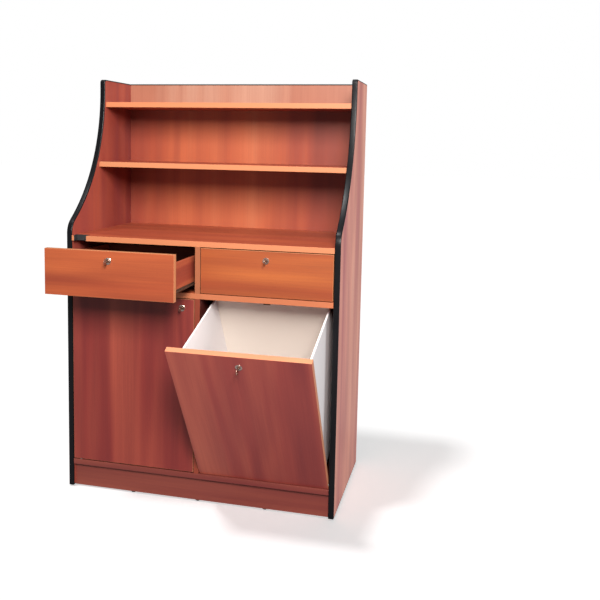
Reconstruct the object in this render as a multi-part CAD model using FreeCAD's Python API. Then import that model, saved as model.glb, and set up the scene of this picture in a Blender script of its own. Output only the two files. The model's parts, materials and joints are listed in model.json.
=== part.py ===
"""Library service cabinet with two lockable drawers, a locked door and a tilt-out return bin.

Frame: +X to the user's right, +Y towards the back, +Z up. The origin is on the floor, at the middle
of the plinth board, under its centre glide. Millimetres.
Depths (d) are counted from the front plane of the side panels towards the back.
"""
import FreeCAD
import Part
import math
import os

V = FreeCAD.Vector
os.makedirs("parts", exist_ok=True)

# ---- overall and board sizes ----
WIDTH = 940.0
DEPTH = 480.0
SIDE = 19.0                # side panel thickness
BOARD = 18.0               # shelves, dividers, fronts
BACK = 8.0                 # upper back panel
HARDBOARD = 4.0            # lower back panel and drawer bottoms
BACK_INSET = 1.0           # back panels behind the rear edges of the sides
EDGING = 4.0               # black profile round the side panels
EDGING_ROUND = 3.0
TOP_STRIP = 4.0            # black strip on the back panel's top edge
BOARD_ROUND = 0.8          # softened edges of boards and fronts
PAST = 1.0                 # how far a cutter runs past the face that it cuts
CLOSE = 0.01               # two places nearer than this are the same place

# ---- heights, from the floor up ----
GLIDE = 5.0
PLINTH = 78.0
LOWER_BAY = 594.0          # door and bin compartments
DRAWER_BAY = 154.0
OPEN_BAY = 227.0           # worktop to middle shelf
SHELF_BAY = 197.0          # middle shelf to upper shelf
GALLERY = 80.0             # upper shelf to the top of the sides

# ---- side panel outline ----
TOP_DEPTH = 230.0          # side panel depth at the top
SHOULDER_RADIUS = 60.0     # convex bend just above the worktop
SHOULDER_RISE = 5.0        # where that bend starts, above the worktop
TOP_STRAIGHT = 35.0        # upright stretch at the top front
TOP_CORNER = 12.0

# ---- set-backs from the front plane ----
PLINTH_SETBACK = 12.0
UPPER_SHELF_MARGIN = 10.0  # behind the side panel's edge at that height
MIDDLE_SHELF_MARGIN = 17.0
INNER_SHELF_SETBACK = 45.0
INNER_SHELF_RISE = 294.0   # above the bottom board
INNER_SHELF_PLAY = 1.0

# ---- fronts ----
FRONT_GAP = 2.0            # beside the fronts
HEAD_GAP = 3.0             # above and below the fronts
SWING_CLEARANCE = 0.6      # at an edge that swings past a board
DRAWER_OPEN = 178.0        # left drawer, as set down
BIN_TILT = 32.0            # degrees, bin open on its stops

# ---- pivots of the door and bin ----
PIN_RADIUS = 3.0
PIN_CLEARANCE = 0.05
PIN_IN_FRONT = 20.0
PIN_IN_BUSH = 8.0
BUSH_RADIUS = 4.5
BUSH_LENGTH = 10.0
DOOR_PIVOT_INSET = 22.0
BIN_PIVOT_RISE = 10.0

# ---- drawer boxes and runners ----
RUNNER_GAP = 12.5          # each side of a drawer box
DRAWER_SIDE = 12.0
DRAWER_REAR_GAP = 57.0     # box to the lower back panel
DRAWER_BOX_LIFT = 25.0     # box underside above the rail
DRAWER_BOX_HEIGHT = 93.0
GROOVE_DEPTH = 6.0
GROOVE_RISE = 6.0
SHEET = 1.2                # runner steel
RUNNER_DROP = 11.0         # channel's underside below the box's underside
RUNNER_HEIGHT = 26.2
RUNNER_START = 22.0
RUNNER_OVERRUN = 2.0       # channel's end behind the box's
RUNNER_FOOT_GAP = 1.5      # channel's foot to the box
RUNNER_SCREW_RADIUS = 2.5
RUNNER_SCREW_HEAD = 0.8
RUNNER_SCREW_MARGIN = 30.0
FLANGE_SETBACK = 4.0       # running flange behind the drawer front
FLANGE_START = 3.0         # running flange's edge from the carcass face
FLANGE_COVER = 6.0         # upright above the running flange
TAB_LENGTH = 24.0          # rear tab that carries the roller's axle
TAB_GAP = 1.0              # tab above the channel's foot
ROLLER_RADIUS = 7.0
ROLLER_WIDTH = 7.0
ROLLER_START = 2.2         # roller from the carcass face
ROLLER_PLAY = 0.3
AXLE_RADIUS = 2.0
AXLE_HEAD_RADIUS = 3.2
AXLE_HEAD = 0.8
FRONT_ROLLER_DEPTH = 34.0
REAR_ROLLER_INSET = 14.0   # rear roller ahead of the box's back end

# ---- locks ----
ROSETTE_RADIUS = 11.0
ROSETTE = 1.5
CASE_RADIUS = 9.0
CASE_LENGTH = 22.0
PLUG_RADIUS = 6.0
PLUG_CLEARANCE = 0.05
NUT_RADIUS = 12.0
NUT = 2.5
CAM_WIDTH = 14.0
CAM_SHEET = 3.0
CAM_GAP = 2.0              # case to cam
CAM_HEADROOM = 3.5         # turned cam to the board above
KEY_SHEET = 2.0
KEY_STEM = 6.0             # its length outside the lock, and its height
KEY_BOW_RADIUS = 10.0
KEY_EYE_RADIUS = 2.5
STRIKE_SHEET = 2.0
STRIKE_DROP = 8.0
STRIKE_WIDTH = 24.0
STRIKE_FLANGE = 24.0
STRIKE_PLAY = 1.5          # strike ahead of the turned cam
DRAWER_LOCK_DROP = 34.0    # lock axis below the board above it
DOOR_LOCK_DROP = 33.0
DOOR_LOCK_INSET = 42.0     # from the door's free edge
BIN_LOCK_DROP = 45.0

# ---- bin ----
BIN_WALL = 6.0
BIN_INSET = 19.0           # bin wall from the end of its front
BIN_REAR_GAP = 95.0        # shut bin to the lower back panel
BIN_BACK_CLEARANCE = 6.0   # rear top edge under the rail as it swings by
BIN_FRONT_DROP = 50.0      # front end of the side walls below the rail
BIN_FLOOR_RISE = 2.0       # bin underside above the pivot
BATTEN = 18.0
PEG_RADIUS = 5.0
PEG_LENGTH = 14.0
PEG_INSET = 15.0           # ahead of the bin wall's rear end
PEG_RISE = 22.0            # above the pivot
STOP_THICKNESS = 10.0
STOP_WIDTH = 24.0
STOP_PLAY = 0.4
STOP_CLEARANCE = 2.0       # stop block to bin wall
STOP_ROUND = 1.5

# ---- cable notch in the worktop ----
NOTCH_START = 8.0          # from the left side panel
NOTCH_WIDTH = 45.0
NOTCH_DEPTH = 22.0
NOTCH_LINER = 2.5
NOTCH_LIP = 1.2

# ---- small fittings ----
GLIDE_RADIUS = 8.0
GLIDE_INSET = 40.0
SHELF_PIN_RADIUS = 2.5
SHELF_PIN_HALF = 8.0
FITTING_RADIUS = 7.5
FITTING_DEPTH = 12.0
FITTING_EDGE = 34.0        # cam fitting from the board's end
FITTING_INSET = 50.0       # from the board's front and back
SCREW_RADIUS = 4.0
SCREW_HEAD = 1.0
BACK_SCREW_INSET = 15.0    # outer screws of the back panels from the side panels
BIN_SCREW_MARGIN = 35.0    # bin wall screws from the ends of their batten

# ---- derived places ----
FRONT = -(PLINTH_SETBACK + BOARD / 2)
INNER = WIDTH / 2 - SIDE
Z_PLINTH_TOP = GLIDE + PLINTH
Z_FLOOR = Z_PLINTH_TOP + BOARD
Z_RAIL = Z_FLOOR + LOWER_BAY
Z_DRAWER = Z_RAIL + BOARD
Z_UNDER_TOP = Z_DRAWER + DRAWER_BAY
Z_WORKTOP = Z_UNDER_TOP + BOARD
Z_MIDDLE = Z_WORKTOP + OPEN_BAY
Z_UPPER = Z_MIDDLE + BOARD + SHELF_BAY
HEIGHT = Z_UPPER + BOARD + GALLERY
BACK_FACE = DEPTH - BACK_INSET
UPPER_BACK_FRONT = BACK_FACE - BACK
LOWER_BACK_FRONT = BACK_FACE - HARDBOARD
DRAWER_END = LOWER_BACK_FRONT - DRAWER_REAR_GAP
RUNNER_END = DRAWER_END + RUNNER_OVERRUN
REAR_ROLLER_DEPTH = DRAWER_END - REAR_ROLLER_INSET
Z_BOX = Z_DRAWER + DRAWER_BOX_LIFT
Z_CHANNEL = Z_BOX - RUNNER_DROP
Z_CHANNEL_TOP = Z_CHANNEL + RUNNER_HEIGHT
Z_ROLLER = Z_CHANNEL + SHEET + ROLLER_PLAY + ROLLER_RADIUS
Z_RUNNING = Z_ROLLER + ROLLER_RADIUS + ROLLER_PLAY
ROLLER_END = ROLLER_START + ROLLER_WIDTH
BIN_BACK_DEPTH = LOWER_BACK_FRONT - BIN_REAR_GAP
PEG_DEPTH = BIN_BACK_DEPTH - PEG_INSET
BIN_PIVOT_DEPTH = BOARD / 2
BIN_FOOT_GAP = math.hypot(BOARD / 2, BIN_PIVOT_RISE) - BIN_PIVOT_RISE + SWING_CLEARANCE
Z_FRONTS = Z_FLOOR + BIN_FOOT_GAP
Z_PIVOT = Z_FRONTS + BIN_PIVOT_RISE
HINGE_GAP = math.hypot(BOARD / 2, DOOR_PIVOT_INSET) - DOOR_PIVOT_INSET + SWING_CLEARANCE
DOOR_LEFT = -INNER + HINGE_GAP
DOOR_AXIS_X = DOOR_LEFT + DOOR_PIVOT_INSET
SWEEP_SETBACK = DEPTH - TOP_DEPTH
Z_SHOULDER = Z_WORKTOP + SHOULDER_RISE
Z_SWEEP = HEIGHT - TOP_STRAIGHT
SWEEP_REACH = ((Z_SWEEP - Z_SHOULDER) ** 2 + SWEEP_SETBACK ** 2) / (2 * SWEEP_SETBACK)
SWEEP_RADIUS = SWEEP_REACH - SHOULDER_RADIUS


def board(x0, x1, d0, d1, z0, z1):
    """A plain rectangular board, given by its limits."""
    return Part.makeBox(x1 - x0, d1 - d0, z1 - z0, V(x0, FRONT + d0, z0))


def softened(shape, radius=BOARD_ROUND):
    """The board with all its edges slightly rounded."""
    return shape.makeFillet(radius, shape.Edges)


def rod_x(radius, x0, x1, d, z):
    return Part.makeCylinder(radius, x1 - x0, V(x0, FRONT + d, z), V(1, 0, 0))


def rod_d(radius, x, d0, d1, z):
    return Part.makeCylinder(radius, d1 - d0, V(x, FRONT + d0, z), V(0, 1, 0))


def rod_z(radius, x, d, z0, z1):
    return Part.makeCylinder(radius, z1 - z0, V(x, FRONT + d, z0), V(0, 0, 1))


def joined(shapes):
    body = shapes[0]
    for shape in shapes[1:]:
        body = body.fuse(shape)
    return body.removeSplitter()


def cut(shape, tools):
    for tool in tools:
        shape = shape.cut(tool)
    return shape


def mirrored(shape):
    return shape.mirror(V(0, 0, 0), V(1, 0, 0))


def tilted(shape, degrees):
    """The shape turned about the bin's pivot, positive as the bin opens."""
    turned = shape.copy()
    turned.rotate(V(0, FRONT + BIN_PIVOT_DEPTH, Z_PIVOT), V(1, 0, 0), degrees)
    return turned


def moved(shape, distance):
    """The shape pulled out towards the user."""
    pulled = shape.copy()
    pulled.translate(V(0, -distance, 0))
    return pulled


def save(name, *solids):
    shape = solids[0] if len(solids) == 1 else Part.Compound(list(solids))
    if not shape.isValid():
        raise ValueError(name + " is not a valid shape")
    shape.exportStep("parts/" + name + ".step")


# ---- carcass ----
def sweep_edge(z):
    """Depth of the side panel's front edge at a height on its concave sweep."""
    below = max(Z_SWEEP - z, 0.0)
    return SWEEP_SETBACK - SWEEP_RADIUS + math.sqrt(SWEEP_RADIUS ** 2 - below ** 2)


def side_outline(x, inset):
    """Face of a side panel at x, with its front, top and bottom edges drawn in by inset."""
    top = HEIGHT - inset
    sweep_centre = SWEEP_SETBACK - SWEEP_RADIUS
    bend = math.acos((SHOULDER_RADIUS - sweep_centre) / SWEEP_REACH)

    def at(d, z):
        return V(x, FRONT + d, z)

    def on_sweep(angle):
        radius = SWEEP_RADIUS + inset
        return at(sweep_centre + radius * math.cos(angle), Z_SWEEP - radius * math.sin(angle))

    def on_shoulder(angle):
        radius = SHOULDER_RADIUS - inset
        return at(SHOULDER_RADIUS - radius * math.cos(angle),
                  Z_SHOULDER + radius * math.sin(angle))

    def on_corner(angle):
        radius = TOP_CORNER - inset
        return at(SWEEP_SETBACK + TOP_CORNER - radius * math.cos(angle),
                  HEIGHT - TOP_CORNER + radius * math.sin(angle))

    foot_front = at(inset, GLIDE + inset)
    edges = [
        Part.LineSegment(foot_front, on_shoulder(0)),
        Part.Arc(on_shoulder(0), on_shoulder(bend / 2), on_shoulder(bend)),
        Part.Arc(on_sweep(bend), on_sweep(bend / 2), on_sweep(0)),
        Part.LineSegment(on_sweep(0), on_corner(0)),
        Part.Arc(on_corner(0), on_corner(math.pi / 4), on_corner(math.pi / 2)),
        Part.LineSegment(on_corner(math.pi / 2), at(DEPTH, top)),
        Part.LineSegment(at(DEPTH, top), at(DEPTH, GLIDE + inset)),
        Part.LineSegment(at(DEPTH, GLIDE + inset), foot_front),
    ]
    return Part.Face(Part.Wire([edge.toShape() for edge in edges]))


def side_panel():
    return side_outline(-WIDTH / 2, EDGING).extrude(V(SIDE, 0, 0))


def side_edging():
    """Soft-nosed profile along the front, top and bottom edges of a side panel."""
    full = side_outline(-WIDTH / 2, 0).extrude(V(SIDE, 0, 0))
    outer = [
        edge for edge in full.Edges
        if abs(edge.tangentAt(edge.FirstParameter).x) < 0.5
        and not all(abs(v.Point.y - FRONT - DEPTH) < CLOSE for v in edge.Vertexes)
    ]
    rounded = full.makeFillet(EDGING_ROUND, outer)
    core = side_outline(-WIDTH / 2 - PAST, EDGING).extrude(V(SIDE + 2 * PAST, 0, 0))
    return rounded.cut(core)


def fitting_places(d0, d1):
    """Places of the cam fittings under a board, two at each end."""
    for x in (-INNER + FITTING_EDGE, INNER - FITTING_EDGE):
        for d in (d0 + FITTING_INSET, d1 - FITTING_INSET):
            yield x, d


FITTINGS = []


def fitted_board(d0, d1, z):
    """Full-width board with pockets for its cam fittings, underside at z."""
    plain = softened(board(-INNER, INNER, d0, d1, z, z + BOARD))
    discs = [rod_z(FITTING_RADIUS, x, d, z, z + FITTING_DEPTH) for x, d in fitting_places(d0, d1)]
    FITTINGS.extend(discs)
    return cut(plain, discs)


def notch_box(margin, z0, z1):
    x0 = -INNER + NOTCH_START
    return board(x0 + margin, x0 + NOTCH_WIDTH - margin, -PAST, NOTCH_DEPTH - margin, z0, z1)


def notch_liner():
    """U-shaped liner of the cable notch, with a lip on the worktop."""
    x0 = -INNER + NOTCH_START
    body = board(x0, x0 + NOTCH_WIDTH, 0, NOTCH_DEPTH, Z_UNDER_TOP, Z_WORKTOP)
    lip = board(x0 - NOTCH_LINER, x0 + NOTCH_WIDTH + NOTCH_LINER, 0, NOTCH_DEPTH + NOTCH_LINER,
                Z_WORKTOP, Z_WORKTOP + NOTCH_LIP)
    slot = notch_box(NOTCH_LINER, Z_UNDER_TOP - PAST, Z_WORKTOP + NOTCH_LIP + PAST)
    return joined([body, lip]).cut(slot)


def glides():
    side_x = WIDTH / 2 - SIDE / 2
    spots = [(x, d) for x in (-side_x, side_x) for d in (GLIDE_INSET, DEPTH - GLIDE_INSET)]
    spots += [(x, PLINTH_SETBACK + BOARD / 2) for x in (-WIDTH / 4, 0, WIDTH / 4)]
    return [rod_z(GLIDE_RADIUS, x, d, 0, GLIDE) for x, d in spots]


def shelf_pins():
    z = Z_FLOOR + INNER_SHELF_RISE - SHELF_PIN_RADIUS
    depths = (INNER_SHELF_SETBACK + FITTING_INSET, LOWER_BACK_FRONT - FITTING_INSET)
    return [rod_x(SHELF_PIN_RADIUS, x - SHELF_PIN_HALF, x + SHELF_PIN_HALF, d, z)
            for x in (-INNER, -BOARD / 2) for d in depths]


def pivot_bush(pin_axis, length_axis):
    ring = Part.makeCylinder(BUSH_RADIUS, BUSH_LENGTH, pin_axis, length_axis)
    return ring.cut(Part.makeCylinder(PIN_RADIUS + PIN_CLEARANCE, BUSH_LENGTH, pin_axis, length_axis))


def back_screws():
    """Pan-head screws round the upper and lower back panels."""
    heads = []
    columns = [INNER - BACK_SCREW_INSET, INNER / 3]
    for z in (Z_PLINTH_TOP + BOARD / 2, Z_RAIL + BOARD / 2, Z_UNDER_TOP + BOARD / 2,
              Z_MIDDLE + BOARD / 2, Z_UPPER + BOARD / 2):
        for x in columns + [-x for x in columns]:
            heads.append(rod_d(SCREW_RADIUS, x, BACK_FACE, BACK_FACE + SCREW_HEAD, z))
    return heads


def carcass():
    left = side_panel()
    right = mirrored(left)
    edging = side_edging()
    pins = shelf_pins()
    bin_axis = BIN_PIVOT_DEPTH
    bush_right = pivot_bush(V(INNER, FRONT + bin_axis, Z_PIVOT), V(1, 0, 0))
    bush_left = pivot_bush(V(BOARD / 2, FRONT + bin_axis, Z_PIVOT), V(-1, 0, 0))
    hole_right = rod_x(BUSH_RADIUS, INNER, INNER + BUSH_LENGTH, bin_axis, Z_PIVOT)
    hole_left = rod_x(BUSH_RADIUS, BOARD / 2 - BUSH_LENGTH, BOARD / 2, bin_axis, Z_PIVOT)
    save("side_panel_left", cut(left, pins))
    save("side_panel_right", right.cut(hole_right))
    save("side_edging_left", edging)
    save("side_edging_right", mirrored(edging).cut(hole_right))
    save("bin_pivot_bushes", bush_left, bush_right)

    upper_edge = sweep_edge(Z_UPPER + BOARD) + UPPER_SHELF_MARGIN
    middle_edge = sweep_edge(Z_MIDDLE + BOARD) + MIDDLE_SHELF_MARGIN
    save("shelf_upper", fitted_board(upper_edge, UPPER_BACK_FRONT, Z_UPPER))
    save("shelf_middle", fitted_board(middle_edge, UPPER_BACK_FRONT, Z_MIDDLE))
    worktop = fitted_board(0, BACK_FACE, Z_UNDER_TOP)
    save("worktop", worktop.cut(notch_box(0, Z_UNDER_TOP - PAST, Z_WORKTOP + PAST)))
    save("cable_notch_liner", notch_liner())

    door_bush_top = pivot_bush(V(DOOR_AXIS_X, FRONT + BOARD / 2, Z_RAIL), V(0, 0, 1))
    door_bush_foot = pivot_bush(V(DOOR_AXIS_X, FRONT + BOARD / 2, Z_FLOOR), V(0, 0, -1))
    hole_top = rod_z(BUSH_RADIUS, DOOR_AXIS_X, BOARD / 2, Z_RAIL, Z_RAIL + BUSH_LENGTH)
    hole_foot = rod_z(BUSH_RADIUS, DOOR_AXIS_X, BOARD / 2, Z_FLOOR - BUSH_LENGTH, Z_FLOOR)
    save("drawer_rail", fitted_board(0, LOWER_BACK_FRONT, Z_RAIL).cut(hole_top))
    save("bottom_board", fitted_board(0, LOWER_BACK_FRONT, Z_PLINTH_TOP).cut(hole_foot))
    save("door_pivot_bushes", door_bush_top, door_bush_foot)

    half = BOARD / 2
    save("divider_upper", softened(board(-half, half, 0, LOWER_BACK_FRONT, Z_DRAWER, Z_UNDER_TOP)))
    lower = softened(board(-half, half, 0, LOWER_BACK_FRONT, Z_FLOOR, Z_RAIL))
    save("divider_lower", cut(lower, pins + [hole_left]))
    save("plinth_board", board(-INNER, INNER, PLINTH_SETBACK, PLINTH_SETBACK + BOARD,
                               GLIDE, Z_PLINTH_TOP))
    save("back_panel_upper", board(-INNER, INNER, UPPER_BACK_FRONT, BACK_FACE,
                                   Z_WORKTOP, HEIGHT - TOP_STRIP))
    save("back_edging", board(-INNER, INNER, UPPER_BACK_FRONT, BACK_FACE,
                              HEIGHT - TOP_STRIP, HEIGHT))
    save("back_panel_lower", board(-INNER, INNER, LOWER_BACK_FRONT, BACK_FACE,
                                   Z_PLINTH_TOP, Z_UNDER_TOP))
    save("inner_shelf", softened(board(-INNER + INNER_SHELF_PLAY, -half - INNER_SHELF_PLAY,
                                       INNER_SHELF_SETBACK, LOWER_BACK_FRONT - INNER_SHELF_PLAY,
                                       Z_FLOOR + INNER_SHELF_RISE,
                                       Z_FLOOR + INNER_SHELF_RISE + BOARD)))
    save("shelf_pins", *pins)
    save("floor_glides", *glides())
    save("cam_fittings", *FITTINGS)
    save("back_screws", *back_screws())


# ---- locks: case, key with plug and cam, and the strike on the board above ----
def lock_hole(x, z):
    return rod_d(CASE_RADIUS, x, -PAST, BOARD + PAST, z)


def lock_case(x, z):
    """Round-headed cylinder case with its nut behind the panel."""
    rosette = rod_d(ROSETTE_RADIUS, x, -ROSETTE, 0, z)
    front_ring = [edge for edge in rosette.Edges if edge.BoundBox.YMax < FRONT - ROSETTE + CLOSE]
    rosette = rosette.makeFillet(ROSETTE / 2, front_ring)
    body = rod_d(CASE_RADIUS, x, 0, CASE_LENGTH, z)
    nut = rod_d(NUT_RADIUS, x, BOARD, BOARD + NUT, z)
    bore = rod_d(PLUG_RADIUS + PLUG_CLEARANCE, x, -ROSETTE - PAST, CASE_LENGTH + PAST, z)
    return joined([rosette, body, nut]).cut(bore)


def lock_turning(x, z, ceiling):
    """Plug, cam and key, which turn together. The cam lies level and turns up to lock."""
    cam_start = CASE_LENGTH + CAM_GAP
    reach = ceiling - CAM_HEADROOM - z
    plug = rod_d(PLUG_RADIUS, x, -ROSETTE, CASE_LENGTH, z)
    neck = rod_d(PLUG_RADIUS / 2, x, CASE_LENGTH, cam_start, z)
    cam = joined([
        board(x - reach, x, cam_start, cam_start + CAM_SHEET, z - CAM_WIDTH / 2, z + CAM_WIDTH / 2),
        rod_d(CAM_WIDTH / 2, x, cam_start, cam_start + CAM_SHEET, z),
    ])
    screw = rod_d(PLUG_RADIUS / 2, x, cam_start + CAM_SHEET, cam_start + 2 * CAM_SHEET, z)
    bow_depth = -ROSETTE - KEY_STEM - KEY_BOW_RADIUS
    stem = board(x - KEY_SHEET / 2, x + KEY_SHEET / 2, bow_depth, -ROSETTE,
                 z - KEY_STEM / 2, z + KEY_STEM / 2)
    bow = rod_x(KEY_BOW_RADIUS, x - KEY_SHEET / 2, x + KEY_SHEET / 2, bow_depth, z)
    eye = rod_x(KEY_EYE_RADIUS, x - KEY_SHEET, x + KEY_SHEET, bow_depth - KEY_BOW_RADIUS / 2, z)
    key = joined([stem, bow]).cut(eye)
    return [joined([plug, neck]), cam, screw, key]


def strike(x, ceiling):
    """Angle screwed under a board, ahead of the turned cam."""
    back = CASE_LENGTH + CAM_GAP - STRIKE_PLAY
    lip = board(x - STRIKE_WIDTH / 2, x + STRIKE_WIDTH / 2, back - STRIKE_SHEET, back,
                ceiling - STRIKE_DROP, ceiling)
    flange = board(x - STRIKE_WIDTH / 2, x + STRIKE_WIDTH / 2, back, back + STRIKE_FLANGE,
                   ceiling - STRIKE_SHEET, ceiling)
    return joined([lip, flange])


# ---- drawers ----
def runner_solid(face_x, towards, s0, s1, d0, d1, z0, z1):
    """Box beside a carcass face: s is the distance from that face towards the drawer."""
    a, b = face_x + towards * s0, face_x + towards * s1
    return board(min(a, b), max(a, b), d0, d1, z0, z1)


def runner_rod(face_x, towards, radius, s0, s1, d, z):
    a, b = face_x + towards * s0, face_x + towards * s1
    return rod_x(radius, min(a, b), max(a, b), d, z)


def roller(face_x, towards, depth):
    wheel = runner_rod(face_x, towards, ROLLER_RADIUS, ROLLER_START, ROLLER_END, depth, Z_ROLLER)
    bore = runner_rod(face_x, towards, AXLE_RADIUS + PIN_CLEARANCE, ROLLER_START, ROLLER_END,
                      depth, Z_ROLLER)
    return wheel.cut(bore)


def cabinet_runner(face_x, towards):
    """C-channel on the carcass, with the axle of its front roller and its screws."""
    web = runner_solid(face_x, towards, 0, SHEET, RUNNER_START, RUNNER_END,
                       Z_CHANNEL, Z_CHANNEL_TOP)
    foot = runner_solid(face_x, towards, SHEET, RUNNER_GAP - RUNNER_FOOT_GAP, RUNNER_START,
                        RUNNER_END, Z_CHANNEL, Z_CHANNEL + SHEET)
    hood = runner_solid(face_x, towards, SHEET, RUNNER_GAP / 2, RUNNER_START, RUNNER_END,
                        Z_CHANNEL_TOP - SHEET, Z_CHANNEL_TOP)
    axle_end = ROLLER_END + ROLLER_PLAY
    axle = runner_rod(face_x, towards, AXLE_RADIUS, SHEET, axle_end, FRONT_ROLLER_DEPTH, Z_ROLLER)
    head = runner_rod(face_x, towards, AXLE_HEAD_RADIUS, axle_end, axle_end + AXLE_HEAD,
                      FRONT_ROLLER_DEPTH, Z_ROLLER)
    first, last = RUNNER_START + RUNNER_SCREW_MARGIN, RUNNER_END - RUNNER_SCREW_MARGIN
    screws = [runner_rod(face_x, towards, RUNNER_SCREW_RADIUS, SHEET, SHEET + RUNNER_SCREW_HEAD,
                         d, (Z_RUNNING + Z_CHANNEL_TOP) / 2)
              for d in (first, (first + last) / 2, last)]
    return [joined([web, foot, hood, axle, head])] + screws


def drawer_runner(face_x, towards):
    """Profile under a drawer side, with its running flange and rear axle."""
    flange_s = RUNNER_GAP - SHEET
    upright = runner_solid(face_x, towards, flange_s, RUNNER_GAP, BOARD, DRAWER_END,
                           Z_BOX - SHEET, Z_RUNNING + FLANGE_COVER)
    under = runner_solid(face_x, towards, RUNNER_GAP, RUNNER_GAP + DRAWER_SIDE, BOARD, DRAWER_END,
                         Z_BOX - SHEET, Z_BOX)
    running = runner_solid(face_x, towards, FLANGE_START, flange_s, BOARD + FLANGE_SETBACK,
                           DRAWER_END, Z_RUNNING, Z_RUNNING + SHEET)
    tab = runner_solid(face_x, towards, flange_s, RUNNER_GAP, DRAWER_END - TAB_LENGTH, DRAWER_END,
                       Z_CHANNEL + SHEET + TAB_GAP, Z_BOX - SHEET)
    axle = runner_rod(face_x, towards, AXLE_RADIUS, ROLLER_START - ROLLER_PLAY, flange_s,
                      REAR_ROLLER_DEPTH, Z_ROLLER)
    return joined([upright, under, running, tab, axle])


def drawer(name, x0, x1, opened):
    """One drawer between the carcass faces x0 and x1, pulled out by opened."""
    z_top = Z_UNDER_TOP - HEAD_GAP
    lock_x, lock_z = (x0 + x1) / 2, Z_UNDER_TOP - DRAWER_LOCK_DROP
    box0, box1 = x0 + RUNNER_GAP, x1 - RUNNER_GAP
    z_groove = Z_BOX + GROOVE_RISE
    bottom = board(box0 + GROOVE_DEPTH, box1 - GROOVE_DEPTH, BOARD - GROOVE_DEPTH, DRAWER_END,
                   z_groove, z_groove + HARDBOARD)
    front = softened(board(x0 + FRONT_GAP, x1 - FRONT_GAP, 0, BOARD, Z_DRAWER + HEAD_GAP, z_top))
    front = cut(front, [lock_hole(lock_x, lock_z), bottom])
    z_side = Z_BOX + DRAWER_BOX_HEIGHT
    left = board(box0, box0 + DRAWER_SIDE, BOARD, DRAWER_END, Z_BOX, z_side).cut(bottom)
    right = board(box1 - DRAWER_SIDE, box1, BOARD, DRAWER_END, Z_BOX, z_side).cut(bottom)
    back = board(box0 + DRAWER_SIDE, box1 - DRAWER_SIDE, DRAWER_END - DRAWER_SIDE, DRAWER_END,
                 z_groove + HARDBOARD, z_side)
    rollers = [roller(x0, 1, REAR_ROLLER_DEPTH), roller(x1, -1, REAR_ROLLER_DEPTH)]
    runners = [drawer_runner(x0, 1), drawer_runner(x1, -1)]

    def put(part, *solids):
        save(name + "_" + part, *[moved(solid, opened) for solid in solids])

    put("front", front)
    put("sides", left, right)
    put("back", back)
    put("bottom", bottom)
    put("runners", *runners)
    put("rear_rollers", *rollers)
    put("lock_case", lock_case(lock_x, lock_z))
    put("lock_key_and_cam", *lock_turning(lock_x, lock_z, Z_UNDER_TOP))
    save(name + "_cabinet_runners", *(cabinet_runner(x0, 1) + cabinet_runner(x1, -1)))
    save(name + "_front_rollers", roller(x0, 1, FRONT_ROLLER_DEPTH),
         roller(x1, -1, FRONT_ROLLER_DEPTH))
    return strike(lock_x, Z_UNDER_TOP)


# ---- door ----
def door():
    right = -BOARD / 2 - FRONT_GAP
    z_top = Z_RAIL - HEAD_GAP
    lock_x, lock_z = right - DOOR_LOCK_INSET, Z_RAIL - DOOR_LOCK_DROP
    middle = BOARD / 2
    pins = [rod_z(PIN_RADIUS, DOOR_AXIS_X, middle, z_top - PIN_IN_FRONT, Z_RAIL + PIN_IN_BUSH),
            rod_z(PIN_RADIUS, DOOR_AXIS_X, middle, Z_FLOOR - PIN_IN_BUSH, Z_FRONTS + PIN_IN_FRONT)]
    panel = softened(board(DOOR_LEFT, right, 0, BOARD, Z_FRONTS, z_top))
    save("door_panel", cut(panel, pins + [lock_hole(lock_x, lock_z)]))
    save("door_pivot_pins", *pins)
    save("door_lock_case", lock_case(lock_x, lock_z))
    save("door_lock_key_and_cam", *lock_turning(lock_x, lock_z, Z_RAIL))
    return strike(lock_x, Z_RAIL)


# ---- tilt-out bin, modelled shut and then turned open ----
BIN_SWING = Z_RAIL - BIN_BACK_CLEARANCE - Z_PIVOT
Z_BIN_BACK = Z_PIVOT + math.sqrt(BIN_SWING ** 2 - (BIN_BACK_DEPTH - BIN_PIVOT_DEPTH) ** 2)
Z_BIN_FOOT = Z_PIVOT + BIN_FLOOR_RISE


def bin_side(x0):
    """Side wall: its top edge falls towards the back so that it swings under the rail."""
    corners = [(BOARD, Z_BIN_FOOT), (BIN_BACK_DEPTH, Z_BIN_FOOT), (BIN_BACK_DEPTH, Z_BIN_BACK),
               (BOARD, Z_RAIL - BIN_FRONT_DROP)]
    points = [V(x0, FRONT + d, z) for d, z in corners]
    return Part.Face(Part.makePolygon(points + points[:1])).extrude(V(BIN_WALL, 0, 0))


def stop_block(x0, x1):
    """Buffer block that a peg meets when the bin is open, built beside the pivot and turned up."""
    reach = math.hypot(PEG_DEPTH - BIN_PIVOT_DEPTH, PEG_RISE)
    start = Z_PIVOT + PEG_RADIUS + STOP_PLAY
    middle = BIN_PIVOT_DEPTH + reach
    block = board(x0, x1, middle - STOP_WIDTH / 2, middle + STOP_WIDTH / 2,
                  start, start + STOP_THICKNESS)
    block = softened(block, STOP_ROUND)
    return tilted(block, BIN_TILT + math.degrees(math.atan2(PEG_RISE, PEG_DEPTH - BIN_PIVOT_DEPTH)))


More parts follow.
